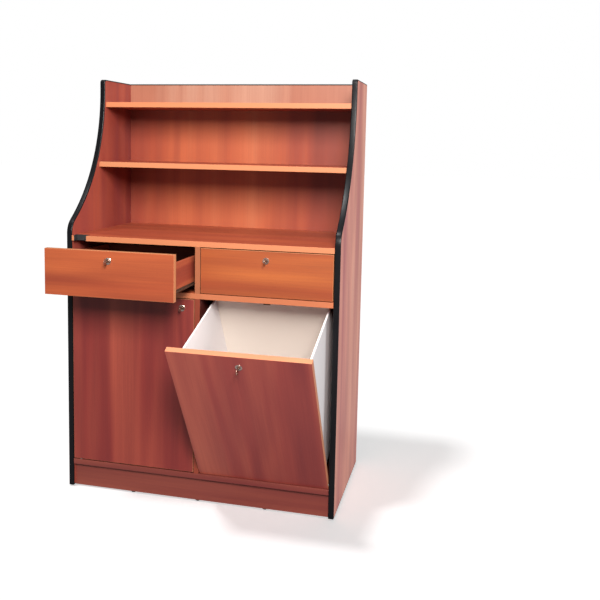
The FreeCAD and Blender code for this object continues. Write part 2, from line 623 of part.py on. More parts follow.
def bin_unit():
    x0, x1 = BOARD / 2 + FRONT_GAP, INNER - FRONT_GAP
    wall0, wall1 = x0 + BIN_INSET, x1 - BIN_INSET
    z_top = Z_RAIL - HEAD_GAP
    lock_x, lock_z = (x0 + x1) / 2, Z_RAIL - BIN_LOCK_DROP
    left = bin_side(wall0)
    right = bin_side(wall1 - BIN_WALL)
    z_inside = Z_BIN_FOOT + BIN_WALL
    floor_board = board(wall0 + BIN_WALL, wall1 - BIN_WALL, BOARD, BIN_BACK_DEPTH,
                        Z_BIN_FOOT, z_inside)
    back = board(wall0 + BIN_WALL, wall1 - BIN_WALL, BIN_BACK_DEPTH - BIN_WALL, BIN_BACK_DEPTH,
                 z_inside, Z_BIN_BACK)
    z_batten = Z_RAIL - BIN_FRONT_DROP - BATTEN
    battens = [board(x, x + BATTEN, BOARD, BOARD + BATTEN, z_inside, z_batten)
               for x in (wall0 + BIN_WALL, wall1 - BIN_WALL - BATTEN)]
    pins = [
        rod_x(PIN_RADIUS, BOARD / 2 - PIN_IN_BUSH, x0 + PIN_IN_FRONT, BIN_PIVOT_DEPTH, Z_PIVOT),
        rod_x(PIN_RADIUS, x1 - PIN_IN_FRONT, INNER + PIN_IN_BUSH, BIN_PIVOT_DEPTH, Z_PIVOT),
    ]
    pegs = [
        rod_x(PEG_RADIUS, wall0 - PEG_LENGTH, wall0, PEG_DEPTH, Z_PIVOT + PEG_RISE),
        rod_x(PEG_RADIUS, wall1, wall1 + PEG_LENGTH, PEG_DEPTH, Z_PIVOT + PEG_RISE),
    ]
    low, high = z_inside + BIN_SCREW_MARGIN, z_batten - BIN_SCREW_MARGIN
    screws = [rod_x(SCREW_RADIUS, x, x + SCREW_HEAD, BOARD + BATTEN / 2, z)
              for x in (wall0 - SCREW_HEAD, wall1) for z in (low, (low + high) / 2, high)]
    front = softened(board(x0, x1, 0, BOARD, Z_FRONTS, z_top))
    front = cut(front, pins + [lock_hole(lock_x, lock_z)])

    def put(part, *solids):
        save("bin_" + part, *[tilted(solid, BIN_TILT) for solid in solids])

    put("front_panel", front)
    put("side_left", left)
    put("side_right", right)
    put("back_wall", back)
    put("floor", floor_board)
    put("battens", *battens)
    put("pivot_pins", *pins)
    put("stop_pegs", *pegs)
    put("wall_screws", *screws)
    put("lock_case", lock_case(lock_x, lock_z))
    put("lock_key_and_cam", *lock_turning(lock_x, lock_z, Z_RAIL))
    save("bin_stop_blocks", stop_block(BOARD / 2, wall0 - STOP_CLEARANCE),
         stop_block(wall1 + STOP_CLEARANCE, INNER))
    return strike(lock_x, Z_RAIL)


carcass()
strikes = [
    drawer("drawer_left", -INNER, -BOARD / 2, DRAWER_OPEN),
    drawer("drawer_right", BOARD / 2, INNER, 0.0),
    door(),
    bin_unit(),
]
save("lock_strikes", *strikes)
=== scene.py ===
"""Finishes of a library service cabinet: veneered boards, black edging, white return bin and locks.

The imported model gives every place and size. This file adds the materials of its boards and the
finer shapes of its metal and plastic fittings, then lights it on a pale floor. Metres.
"""
import json
import math

import bmesh
import bpy
from mathutils import Euler, Matrix, Vector


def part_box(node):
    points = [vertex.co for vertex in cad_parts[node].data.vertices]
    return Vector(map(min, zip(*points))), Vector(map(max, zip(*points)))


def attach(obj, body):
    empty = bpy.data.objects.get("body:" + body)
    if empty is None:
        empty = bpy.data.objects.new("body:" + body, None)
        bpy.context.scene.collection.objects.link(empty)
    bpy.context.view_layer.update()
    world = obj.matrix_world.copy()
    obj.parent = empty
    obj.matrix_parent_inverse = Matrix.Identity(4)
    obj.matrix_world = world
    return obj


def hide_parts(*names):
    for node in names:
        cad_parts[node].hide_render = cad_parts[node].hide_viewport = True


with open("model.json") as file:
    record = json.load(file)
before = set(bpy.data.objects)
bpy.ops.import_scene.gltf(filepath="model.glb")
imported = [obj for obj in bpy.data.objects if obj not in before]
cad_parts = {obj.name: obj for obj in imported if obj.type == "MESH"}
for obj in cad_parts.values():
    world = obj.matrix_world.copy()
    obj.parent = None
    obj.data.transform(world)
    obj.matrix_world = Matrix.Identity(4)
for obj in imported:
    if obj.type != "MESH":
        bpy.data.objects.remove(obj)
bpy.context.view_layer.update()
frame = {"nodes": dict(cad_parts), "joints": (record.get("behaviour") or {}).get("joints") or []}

bl_info = {
    "name": "Library service cabinet",
    "version": (1, 0, 0),
    "blender": (4, 5, 0),
    "location": "3D View > Sidebar > Cabinet",
    "description": "Veneer, edging, bin and lock fittings of a library service cabinet",
    "category": "Object",
}

X = Vector((1, 0, 0))
Y = Vector((0, 1, 0))
Z = Vector((0, 0, 1))
MM = 0.001
EDGE_BAND = 0.7 * MM
SHARP = math.radians(35)
WELD = 1e-6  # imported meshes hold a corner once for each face
MERGE = 1e-7  # corners of a new shape that are one point
SCREW_HEAD = (4.0 * MM, 1.0 * MM)  # radius, height
WHITE = (1.0, 1.0, 1.0)
RAMP_PLACES = (0.0, 0.38, 0.66, 1.0)
SEED_STEP = 5.3


# ---- shader sockets ----
class Field:
    """A shader value. Python's operators on it add Math nodes."""

    def __init__(self, graph, socket):
        self.graph = graph
        self.socket = socket

    def math(self, operation, *others):
        values = dict(enumerate((self, *others)))
        return self.graph.add("ShaderNodeMath", {"operation": operation}, values)

    def reflected(self, operation, other):
        return self.graph.add("ShaderNodeMath", {"operation": operation}, {0: other, 1: self})

    def __add__(self, other):
        return self.math("ADD", other)

    def __sub__(self, other):
        return self.math("SUBTRACT", other)

    def __rsub__(self, other):
        return self.reflected("SUBTRACT", other)

    def __mul__(self, other):
        return self.math("MULTIPLY", other)

    __radd__ = __add__
    __rmul__ = __mul__

    def between(self, low, high):
        """0 below low, 1 above high and smooth in between."""
        values = {"Value": self, "From Min": low, "From Max": high}
        return self.graph.add("ShaderNodeMapRange", {"interpolation_type": "SMOOTHSTEP"}, values)


class Graph:
    """The nodes of one material, with its Principled shader."""

    def __init__(self, name, **constants):
        self.material = bpy.data.materials.new(name)
        self.material.use_nodes = True
        self.tree = self.material.node_tree
        self.shader = self.tree.nodes["Principled BSDF"]
        for socket, value in constants.items():
            self.shader.inputs[socket.replace("_", " ")].default_value = value

    def add(self, kind, settings, sockets, output=0):
        """A node of that kind, its settings made first and then its sockets filled or linked."""
        node = self.tree.nodes.new(kind)
        for name, value in settings.items():
            if name == "stops":
                self.fill_ramp(node.color_ramp, value)
            else:
                setattr(node, name, value)
        for name, value in sockets.items():
            if isinstance(value, Field):
                self.tree.links.new(value.socket, node.inputs[name])
            else:
                node.inputs[name].default_value = value
        return Field(self, node.outputs[output])

    @staticmethod
    def fill_ramp(ramp, stops):
        while len(ramp.elements) < len(stops):
            ramp.elements.new(1.0)
        for element, (place, colour) in zip(ramp.elements, stops):
            element.position = place
            element.color = (*colour, 1.0)

    def place(self, turn=None, centre=None):
        """Object coordinates, turned about X round a centre when the piece lies turned at rest."""
        here = self.add("ShaderNodeTexCoord", {}, {}, "Object")
        if turn is None:
            return here
        moved = self.add("ShaderNodeVectorMath", {"operation": "SUBTRACT"}, {0: here, 1: centre})
        turned = self.add("ShaderNodeMapping", {}, {"Vector": moved, "Rotation": (turn, 0, 0)})
        return self.add("ShaderNodeVectorMath", {"operation": "ADD"}, {0: turned, 1: centre})

    def part(self, vector, direction):
        """How far a vector reaches along a direction."""
        sockets = {0: vector, 1: direction}
        return self.add("ShaderNodeVectorMath", {"operation": "DOT_PRODUCT"}, sockets, "Value")

    def vector(self, x, y, z):
        return self.add("ShaderNodeCombineXYZ", {}, {"X": x, "Y": y, "Z": z})

    def noise(self, vector, scale=1.0, detail=2.0, rough=0.5, distortion=0.0):
        sockets = {"Vector": vector, "Scale": scale, "Detail": detail, "Roughness": rough,
                   "Distortion": distortion}
        return self.add("ShaderNodeTexNoise", {}, sockets)

    def stretched(self, vector, scale):
        return self.add("ShaderNodeMapping", {}, {"Vector": vector, "Scale": scale})

    def ramp(self, factor, tones):
        stops = list(zip(RAMP_PLACES, tones))
        return self.add("ShaderNodeValToRGB", {"stops": stops}, {"Fac": factor}, "Color")

    def mix(self, factor, first, second):
        """A colour between two: sockets 6 and 7 of the node are its colours, output 2 the mix."""
        first = first if isinstance(first, Field) else (*first, 1.0)
        second = second if isinstance(second, Field) else (*second, 1.0)
        sockets = {0: factor, 6: first, 7: second}
        return self.add("ShaderNodeMix", {"data_type": "RGBA"}, sockets, 2)

    def bump(self, height, distance, strength=1.0):
        sockets = {"Height": height, "Distance": distance, "Strength": strength}
        return self.add("ShaderNodeBump", {}, sockets)

    def finish(self, **inputs):
        for socket, value in inputs.items():
            self.tree.links.new(value.socket, self.shader.inputs[socket.replace("_", " ")])
        return self.material


# ---- finishes ----
def veneer(name, tones, along, across, seed, strip=0.075, bands=(), band_tone=None, turn=None,
           centre=None, roughness=0.38, figure=0.2, contrast=1.0, painted_light_zones=(), light_pool=None):
    """Fruitwood laminate: soft strips of tone, nested figure lines, fibres and short pores.

    bands are (direction, limit) pairs: past that limit the surface is the board's edge band.
    Light zones are (direction, limit, tones): past that limit the veneer has those tones,
    which paint paler light and sheen onto the faces that catch the most light.
    The light pool is (middle, reach) across the grain: painted light, paler in the middle
    of the sheet and darker towards its ends.
    """
    graph = Graph(name, IOR=1.5, Specular_IOR_Level=0.35)
    place = graph.place(turn, centre)
    a = graph.part(place, along)
    c = graph.part(place, across)

    def grain(fine_across, fine_along, shift=0.0, **settings):
        """Noise drawn out along the grain."""
        sheet = graph.vector(c * fine_across, a * fine_along, seed + shift)
        return graph.noise(sheet, **settings)

    wander = grain(2.2, 0.9, detail=1.0)
    cells = graph.add(
        "ShaderNodeTexVoronoi",
        {"voronoi_dimensions": "1D", "feature": "SMOOTH_F1"},
        {"W": c + wander * 0.05 + seed, "Scale": 1 / strip, "Smoothness": 0.6},
        "Color",
    )
    strips = graph.add("ShaderNodeSeparateColor", {}, {"Color": cells}, "Red")
    drift = grain(11.0, 0.8, 3.0)
    tone = strips * (0.62 * contrast) + drift * 0.80 + (0.14 - 0.35 * contrast)
    # Painted pool of light: paler across the middle, darker towards the ends of the sheet.
    if light_pool:
        middle, reach = light_pool
        off = (c + wander * 0.12 - middle - 0.06).math("ABSOLUTE")
        tone = tone + 0.20 - off.between(0.25 * reach, reach) * 0.62
    growth = grain(5.0, 0.6, 7.0, detail=1.5, distortion=0.3)
    rings = (growth * 42.0).math("SINE") * 0.5 + 0.5
    lines = rings * grain(9.0, 1.3, 1.0)
    fine_lines = grain(190.0, 3.2)
    fibres = grain(900.0, 22.0)
    pores = grain(1500.0, 70.0, detail=1.0).between(0.64, 0.74)
    colour = graph.ramp(tone, tones)
    darkest = Vector(tones[0])
    # Painted light and sheen: past each zone's limit the veneer takes that zone's paler tones.
    for direction, limit, shades in painted_light_zones:
        past = graph.part(place, direction).math("GREATER_THAN", limit)
        pale = graph.ramp(tone, shades)
        colour = graph.mix(past, colour, pale)
        darkest = (darkest + Vector(shades[0])) / 2
    shade = lines * figure + fine_lines * 0.34 + fibres * 0.14 + pores * 0.16
    colour = graph.mix(shade, colour, tuple(darkest))
    for direction, limit in bands:
        on_band = graph.part(place, direction).math("GREATER_THAN", limit)
        plain = graph.mix(drift * 0.5 + fibres * 0.2, band_tone, tones[2])
        colour = graph.mix(on_band, colour, plain)
    gloss = fibres * 0.10 + fine_lines * 0.06 + (roughness - 0.08)
    relief = graph.bump(fibres * 0.5 - pores, 0.08 * MM, 0.6)
    return graph.finish(Base_Color=colour, Roughness=gloss, Normal=relief)


def gloss_black(name, colour):
    """Polished edging profile with faint drawing lines, dust and handling marks."""
    graph = Graph(name, IOR=1.5, Specular_IOR_Level=0.18)
    place = graph.place()
    marks = graph.noise(place, 26.0, 4.0, 0.6)
    dust = graph.noise(place, 820.0, 2.0).between(0.66, 0.78)
    colour_here = graph.mix(dust * 0.35, colour, (0.03, 0.028, 0.027))
    relief = graph.bump(graph.noise(place, 160.0, 2.0), 0.05 * MM, 0.35)
    return graph.finish(Base_Color=colour_here, Roughness=marks * 0.16 + 0.22, Normal=relief)


def melamine(name, colour, seed):
    """White faced board with a fine orange-peel surface and faint scuffs from books."""
    graph = Graph(name, IOR=1.5)
    place = graph.place()
    cloud = graph.noise(place, 5.0 + seed, 3.0)
    slide = graph.stretched(place, (9.0, 6.0, 90.0))
    scuffs = graph.noise(slide, 3.0, 4.0, 0.65).between(0.62, 0.76)
    grey = tuple(0.80 * value for value in colour)
    colour_here = graph.mix(cloud * 0.16 + scuffs * 0.22, colour, grey)
    peel = graph.bump(graph.noise(place, 1400.0, 2.0), 0.04 * MM, 0.5)
    return graph.finish(Base_Color=colour_here, Roughness=cloud * 0.12 + scuffs * 0.15 + 0.30,
                        Normal=peel)


def metal(name, colour, roughness, grain=(60.0, 60.0, 1400.0)):
    """Plated or drawn metal with fine lines and cloudy wear."""
    graph = Graph(name, Metallic=1.0)
    place = graph.place()
    lines = graph.noise(graph.stretched(place, grain), 1.0, 3.0)
    cloud = graph.noise(place, 140.0, 3.0)
    dull = tuple(0.62 * value for value in colour)
    colour_here = graph.mix(cloud.between(0.5, 0.8) * 0.4 + lines * 0.2, colour, dull)
    relief = graph.bump(lines, 0.03 * MM, 0.4)
    return graph.finish(Base_Color=colour_here, Roughness=cloud * 0.18 + lines * 0.10 + roughness,
                        Normal=relief)


def plastic(name, colour, roughness, grain=700.0):
    """Moulded plastic or rubber with a fine spark-eroded texture."""
    graph = Graph(name, IOR=1.48)
    place = graph.place()
    cells = graph.noise(place, grain, 3.0)
    cloud = graph.noise(place, 40.0, 2.0)
    worn = tuple(min(1.0, 1.25 * value + 0.01) for value in colour)
    return graph.finish(Base_Color=graph.mix(cloud, colour, worn),
                        Roughness=cells * 0.14 + cloud * 0.1 + roughness,
                        Normal=graph.bump(cells, 0.06 * MM, 0.5))


def hardboard(name, colour):
    """Pressed fibre board: a felted surface with dark and pale fibres."""
    graph = Graph(name)
    place = graph.place()
    felt = graph.noise(place, 260.0, 5.0, 0.7, 1.2)
    flecks = graph.noise(place, 900.0, 2.0).between(0.6, 0.72)
    cloud = graph.noise(place, 6.0, 2.0)
    pale = tuple(min(1.0, 1.5 * value) for value in colour)
    dark = tuple(0.5 * value for value in colour)
    colour_here = graph.mix(flecks * 0.6, graph.mix(felt * 0.7 + cloud * 0.3, dark, pale), pale)
    return graph.finish(Base_Color=colour_here, Roughness=felt * 0.2 + 0.55,
                        Normal=graph.bump(felt, 0.12 * MM, 0.6))


def enamel(name, colour):
    """Baked paint on runner steel, rubbed along the running faces."""
    graph = Graph(name, IOR=1.5)
    place = graph.place()
    rubs = graph.noise(graph.stretched(place, (300.0, 8.0, 300.0)), 1.0, 3.0).between(0.55, 0.75)
    peel = graph.noise(place, 900.0, 2.0)
    grey = tuple(0.7 * value for value in colour)
    return graph.finish(Base_Color=graph.mix(rubs * 0.6, colour, grey),
                        Roughness=rubs * 0.2 + peel * 0.1 + 0.25,
                        Normal=graph.bump(peel, 0.05 * MM, 0.4))


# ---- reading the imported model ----
def dress(node, material):
    """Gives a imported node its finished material."""
    mesh = frame["nodes"][node].data
    if mesh.materials:
        for index in range(len(mesh.materials)):
            mesh.materials[index] = material
    else:
        mesh.materials.append(material)


def solids(node):
    """(lowest corner, highest corner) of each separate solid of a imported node."""
    shape = bmesh.new()
    shape.from_mesh(frame["nodes"][node].data)
    bmesh.ops.remove_doubles(shape, verts=shape.verts, dist=WELD)
    unseen = set(shape.verts)
    found = []
    while unseen:
        group = [unseen.pop()]
        for vert in group:
            for edge in vert.link_edges:
                other = edge.other_vert(vert)
                if other in unseen:
                    unseen.remove(other)
                    group.append(other)
        low = Vector([min(v.co[i] for v in group) for i in range(3)])
        high = Vector([max(v.co[i] for v in group) for i in range(3)])
        found.append((low, high))
    shape.free()
    return sorted(found, key=lambda box: tuple(round(value, 4) for value in box[0]))


def joint(name):
    return next(item for item in frame["joints"] if item["name"] == name)


TILT = -math.radians(joint("bin_tilt")["range_deg"][0])
PIVOT = Vector(joint("bin_tilt")["pos_m"])


# ---- mesh tools ----
def facing(place, direction):
    """Matrix that puts a shape made towards +Z at a place, towards a direction."""
    turn = direction.to_track_quat("Z", "X").to_matrix().to_4x4()
    return Matrix.Translation(place) @ turn


def ring(shape, radius, place, steps, axis):
    """A loop of vertices round an axis, at a place along it."""
    made = bmesh.ops.create_circle(shape, segments=steps, radius=radius)["verts"]
    bmesh.ops.translate(shape, verts=made, vec=(0.0, 0.0, place))
    bmesh.ops.transform(shape, matrix=facing((0.0, 0.0, 0.0), axis), verts=made)
    return made


def loop_edges(verts):
    inside = set(verts)
    return list({e for v in verts for e in v.link_edges if set(e.verts) <= inside})


def bridge(shape, first, second):
    edges = loop_edges(first) + loop_edges(second)
    bmesh.ops.bridge_loops(shape, edges=edges)


def lathe(shape, profile, steps=48, axis=Y, closed=False):
    """Spins (radius, place) points round an axis into a closed body."""
    before = set(shape.verts)
    points = [shape.verts.new((radius, 0.0, place)) for radius, place in profile]
    pairs = list(zip(points, points[1:]))
    if closed:
        pairs.append((points[-1], points[0]))
    edges = [shape.edges.new(pair) for pair in pairs]
    bmesh.ops.spin(shape, geom=points + edges, cent=(0, 0, 0), axis=Z, dvec=(0, 0, 0),
                   angle=math.tau, steps=steps, use_merge=True, use_duplicate=False)
    made = [v for v in shape.verts if v not in before]
    bmesh.ops.remove_doubles(shape, verts=made, dist=MERGE)
    made = [v for v in shape.verts if v not in before]
    bmesh.ops.transform(shape, matrix=facing((0.0, 0.0, 0.0), axis), verts=made)
    return made


def round_edges(shape, edges, width):
    bmesh.ops.bevel(shape, geom=edges, offset=width, offset_type="OFFSET", segments=2,
                    profile=0.5, affect="EDGES", clamp_overlap=True, material=-1)


def block(shape, low, high, rounding):
    """A box between two corners, its edges rounded when a width is given."""
    low, high = Vector(low), Vector(high)
    place = Matrix.Translation((low + high) / 2) @ Matrix.Diagonal((*(high - low), 1.0))
    verts = bmesh.ops.create_cube(shape, size=1.0, matrix=place)["verts"]
    if rounding:
        round_edges(shape, list({e for v in verts for e in v.link_edges}), rounding)


def in_mm(*points):
    """(radius, place) points of a profile, given in millimetres."""
    return [(radius * MM, place * MM) for radius, place in points]


def copied(shape, source, matrix):
    """Adds a copy of another bmesh, placed by a matrix."""
    mesh = bpy.data.meshes.new("copy")
    source.to_mesh(mesh)
    mesh.transform(matrix)
    shape.from_mesh(mesh)
    bpy.data.meshes.remove(mesh)


def piece(name, shape, body, material, replaces=()):
    """Turns a bmesh into a finished piece that rides on a body."""
    bmesh.ops.recalc_face_normals(shape, faces=shape.faces)
    mesh = bpy.data.meshes.new(name)
    shape.to_mesh(mesh)
    shape.free()
    made = bpy.data.objects.new(name, mesh)
    bpy.context.scene.collection.objects.link(made)
    mesh.materials.append(material)
    mesh.shade_smooth()
    mesh.set_sharp_from_angle(angle=SHARP)
    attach(made, body)
    if replaces:
        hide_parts(*replaces)


def cross_outline(arm, half):
    """Corners and edge middles of a plus sign, 24 points in order."""
    quarter = [(arm, -half), (arm, 0.0), (arm, half), ((arm + half) / 2, half), (half, half),
               (half, (arm + half) / 2)]
    points = []
    for step in range(4):
        turn = Matrix.Rotation(step * math.pi / 2, 2)
        points += [turn @ Vector(point) for point in quarter]
    return points


def cross_head(radius, height, recess, dome=0.62):
    """Screw head or fitting with a cross recess, its face towards +Z from z = 0."""
    shape = bmesh.new()
    outline = cross_outline(0.5 * radius, 0.13 * radius)
    side = ((radius, 0.0), (radius, 0.45 * height), (0.9 * radius, 0.8 * height),
            (dome * radius, height))
    loops = [ring(shape, r, z, len(outline), Z) for r, z in side]
    for z in (height, height - recess):
        verts = [shape.verts.new((*point, z)) for point in outline]
        for start, end in zip(verts, verts[1:] + verts[:1]):
            shape.edges.new((start, end))
        loops.append(verts)
    for first, second in zip(loops, loops[1:]):
        bridge(shape, first, second)
    bmesh.ops.contextual_create(shape, geom=loop_edges(loops[-1]))
    bmesh.ops.contextual_create(shape, geom=loop_edges(loops[0]))
    return shape


# ---- settings ----
def colour_property(name, description, default):
    return bpy.props.FloatVectorProperty(name=name, description=description, default=default,
                                         subtype="COLOR", size=3, min=0.0, max=1.0)


class CabinetFinish(bpy.types.PropertyGroup):
    """Colours and gloss of the boards and plastics."""

    red: colour_property("Red wood", "Darkest strips of the veneer", (0.15, 0.022, 0.018))
    brown: colour_property("Brown wood", "Common tone of the veneer", (0.36, 0.058, 0.029))
    orange: colour_property("Orange wood", "Warm strips of the veneer", (0.58, 0.130, 0.050))
    pale: colour_property("Pale wood", "Palest strips of the veneer", (0.70, 0.21, 0.090))
    band: colour_property("Edge band", "Edge band of the boards", (0.70, 0.34, 0.165))
    edging: colour_property("Edging", "Black profile round the sides", (0.004, 0.004, 0.005))
    bin_white: colour_property("Bin white", "Side walls and floor of the bin", (0.72, 0.69, 0.70))
    # Cream painted on the bin's white back wall for warm light bounced onto it from the wood.
    bin_bounce_cream: colour_property("Bin cream", "Back wall of the bin", (0.78, 0.70, 0.62))
    strip: bpy.props.FloatProperty(name="Strip", description="Usual width of a veneer strip",
                                   default=0.11, min=0.02, max=0.3, unit="LENGTH")
    roughness: bpy.props.FloatProperty(name="Roughness", description="Roughness of the laminate",
                                       default=0.40, min=0.1, max=0.9, subtype="FACTOR")


class CabinetFittings(bpy.types.PropertyGroup):
    """Fine sizes of the metal and plastic fittings."""

    recess: bpy.props.FloatProperty(name="Recess", description="Depth of a screw's cross recess",
                                    default=0.0006, min=0.0, max=0.002, unit="LENGTH")
    key_edge: bpy.props.FloatProperty(name="Key edge", description="Rounding of the key's edges",
                                      default=0.0003, min=0.0, max=0.0009, unit="LENGTH")
    rim: bpy.props.FloatProperty(name="Lock rim", description="Width of the lock head's raised rim",
                                 default=0.0022, min=0.0005, max=0.004, unit="LENGTH")


class CabinetStage(bpy.types.PropertyGroup):
    """Light and view."""

    box: bpy.props.FloatProperty(name="Soft box", description="Power of the soft box in front",
                                 default=224.0, min=0.0, max=2000.0, unit="POWER")
    key: bpy.props.FloatProperty(name="Key", description="Strength of the light from above",
                                 default=1.15, min=0.0, max=20.0)
    fill: bpy.props.FloatProperty(name="Fill", description="Strength of the light from the right",
                                  default=1.5, min=0.0, max=20.0)
    sky: bpy.props.FloatProperty(name="Sky", description="Strength of the even light all round",
                                 default=0.20, min=0.0, max=5.0)
    paper: bpy.props.FloatProperty(name="Paper", description="Glow of the white paper floor",
                                   default=0.56, min=0.0, max=2.0)
    lens: bpy.props.FloatProperty(name="Lens", description="Focal length of the view",
                                  default=47.16, min=10.0, max=200.0, unit="CAMERA")


# ---- boards ----
def dress_boards(finish, nodes, along, across, seed, tones=None, fronts=True, contrast=0.5,
                 painted_light_zones=(), band=(1.0, 1.0), light_pool=None):
    """Veneers level or upright boards, each with its own stretch of grain and a front edge band."""
    tones = tones or wood_tones(finish)
    for index, node in enumerate(nodes):
        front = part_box(node)[0].y
        bands = [(-Y, -front - EDGE_BAND)] if fronts else ()
        material = veneer("wood_" + node, tones, along, across, seed + SEED_STEP * index,
                          finish.strip, bands, edge_tone(finish, *band),
                          roughness=finish.roughness, contrast=contrast, painted_light_zones=painted_light_zones, light_pool=light_pool)
        dress(node, material)


def edge_tone(finish, light, warm=1.0):
    """The edge band's tone, lightened, or warmer with less green and blue."""
    red, green, blue = finish.band
    return light * red, light * warm * green, light * warm * blue


def wood_tones(finish, light=1.0, green=1.0, blue=1.0):
    """The veneer's tones from dark to pale, lightened, and with more or less green and blue."""
    shades = (finish.red, finish.brown, finish.orange, finish.pale)
    return [(min(1.0, r * light), g * light * green, b * light * blue) for r, g, b in shades]


class CABINET_OT_carcass(bpy.types.Operator):
    """Veneers the carcass: sides, shelves, worktop, dividers, rail, bottom and plinth"""

    bl_idname = "cabinet.carcass"
    bl_label = "Carcass"

    def execute(self, context):
        finish = context.scene.cabinet_finish
        # Painted shade: the right side and upper divider get these dark tones; the left side, which
        # the light reaches, paler ones.
        inside = wood_tones(finish, 0.35)
        lit_and_shaded_sides = (wood_tones(finish, 0.60, 0.85, 0.95), inside)
        # Painted sheen: paler, bluer tones on the outer faces of the sides, for light glancing off
        # them.
        painted_sheen_tones = wood_tones(finish, 1.5, 2.0, 3.7)
        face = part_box("side_panel_right")[1].x - EDGE_BAND
        for index, (node, outward) in enumerate((("side_panel_left", -X), ("side_panel_right", X))):
            dress_boards(finish, (node,), Z, Y + X, 2.0 + SEED_STEP * index, lit_and_shaded_sides[index],
                         False, 0.2, ((outward, face, painted_sheen_tones),))
        # Painted light and shade: each board's edge band, and the worktop's tones, are made lighter
        # or darker for how brightly that board is lit.
        dress_boards(finish, ("shelf_upper", "shelf_middle"), X, Y + Z, 11.0, band=(0.60, 0.97))
        dress_boards(finish, ("worktop",), X, Y + Z, 21.6, wood_tones(finish, 0.84),
                     band=(0.58, 0.9))
        dress_boards(finish, ("drawer_rail", "inner_shelf"), X, Y + Z, 27.0, band=(0.35, 0.87))
        # Painted shade: dark, bluish tones on the bottom board and plinth, for the shade low down
        # where little light reaches.
        dark = wood_tones(finish, 0.40, 1.08, 1.8)
        dress_boards(finish, ("divider_upper",), Z, Y + X, 43.0, inside, band=(0.42, 0.75))
        # Painted shade: very dark tones and band on the lower divider, for the dark gap beside the
        # bin.
        deep_shade_tones = wood_tones(finish, 0.20, 1.0, 1.5)
        dress_boards(finish, ("divider_lower",), Z, Y + X, 48.3, deep_shade_tones, band=(0.30, 0.36))
        dress_boards(finish, ("bottom_board", "plinth_board"), X, Y + Z, 57.0, dark, False)
        return {"FINISHED"}


class CABINET_OT_backs(bpy.types.Operator):
    """Finishes the veneered upper back, the plain lower back and the drawer bottoms"""

    bl_idname = "cabinet.backs"
    bl_label = "Backs"

    def execute(self, context):
        finish = context.scene.cabinet_finish
        # Painted light: paler, yellower tones on the back above the upper shelf, for the light
        # falling on its top.
        paler = wood_tones(finish, 0.60, 1.8, 2.9)
        painted_light_gallery = (paler[2], paler[2], paler[3], paler[3])
        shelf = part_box("shelf_upper")[1].z
        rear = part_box("back_panel_upper")[1].y - EDGE_BAND
        plain = wood_tones(finish, 0.78, 1.04, 1.06)
        # The back is painted paler across its middle and darker towards its ends, a pool of light.
        dress_boards(finish, ("back_panel_upper",), Z, X, 71.0, plain, False, 0.6,
                     ((Z, shelf, painted_light_gallery), (Y, rear, plain)), light_pool=(-0.14, 0.52))
        board = hardboard("lower_back_board", (0.13, 0.06, 0.03))
        dress("back_panel_lower", board)
        for side in ("left", "right"):
            dress("drawer_" + side + "_bottom", board)
        return {"FINISHED"}


class CABINET_OT_fronts(bpy.types.Operator):
    """Veneers the drawer fronts, the door and the bin front, with banded edges"""

    bl_idname = "cabinet.fronts"
    bl_label = "Fronts"

    def execute(self, context):
        finish = context.scene.cabinet_finish
        # Painted light and shade: each front's tint sets its lightness and hue for how it is lit.
        # The door's darker tones are painted shade low down; the bin front's paler, bluer tones are
        # painted sheen that also makes up for its downward tilt.
        fronts = (
            ("drawer_left_front", X, Z, 83.0, (0.68, 1.02, 0.82), 0.45),
            ("drawer_right_front", X, Z, 91.7, (0.72, 1.20, 0.80), 0.45),
            ("door_panel", Z, X, 104.0, (0.54, 0.86, 1.34), 0.45),
            ("bin_front_panel", Z, X, 117.0, (0.92, 1.10, 1.70), 0.6),
        )
        for node, along, across, seed, painted_light_tint, contrast in fronts:
            turned = node.startswith("bin")
            low, high = self.corners(node, turned)
            bands = [(X, high.x - EDGE_BAND), (-X, -low.x - EDGE_BAND),
                     (Z, high.z - EDGE_BAND), (-Z, -low.z - EDGE_BAND)]
            material = veneer("wood_" + node, wood_tones(finish, *painted_light_tint), along, across, seed,
                              finish.strip, bands, edge_tone(finish, 0.62, 0.95),
                              -TILT if turned else None, PIVOT, finish.roughness,
                              contrast=contrast, figure=0.34)
            dress(node, material)
        return {"FINISHED"}

    @staticmethod
    def corners(node, turned):
        """Corners of a front as it stands when shut."""
        if not turned:
            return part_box(node)
        back = Matrix.Rotation(-TILT, 3, "X")
        spots = [back @ (v.co - PIVOT) + PIVOT for v in frame["nodes"][node].data.vertices]
        low = Vector([min(spot[i] for spot in spots) for i in range(3)])
        high = Vector([max(spot[i] for spot in spots) for i in range(3)])
        return low, high


class CABINET_OT_edging(bpy.types.Operator):
    """Polished black profiles round the sides and along the back's top"""

    bl_idname = "cabinet.edging"
    bl_label = "Edging"

    def execute(self, context):
        finish = context.scene.cabinet_finish
        black = gloss_black("black_edging", tuple(finish.edging))
        for node in ("side_edging_left", "side_edging_right", "back_edging"):
            shape = bmesh.new()
            shape.from_mesh(frame["nodes"][node].data)
            bmesh.ops.remove_doubles(shape, verts=shape.verts, dist=WELD)
            piece(node + "_profile", shape, "carcass", black, (node,))
        return {"FINISHED"}


class CABINET_OT_drawers(bpy.types.Operator):
    """Veneers the sides and backs of the drawers"""

    bl_idname = "cabinet.drawers"
    bl_label = "Drawers"

    def execute(self, context):
        finish = context.scene.cabinet_finish
        for index, side in enumerate(("left", "right")):
            # Painted shade: the drawer backs get a third of the sides' lightness, for the shade
            # inside the drawers.
            for part, along, light in (("sides", Y, 0.9), ("back", X, 0.3)):
                node = "drawer_" + side + "_" + part
                material = veneer("wood_" + node, wood_tones(finish, light, 1.1, 1.1), along, Z,
                                  131.0 + 4.0 * index, 0.05, roughness=0.45)
                dress(node, material)
        return {"FINISHED"}


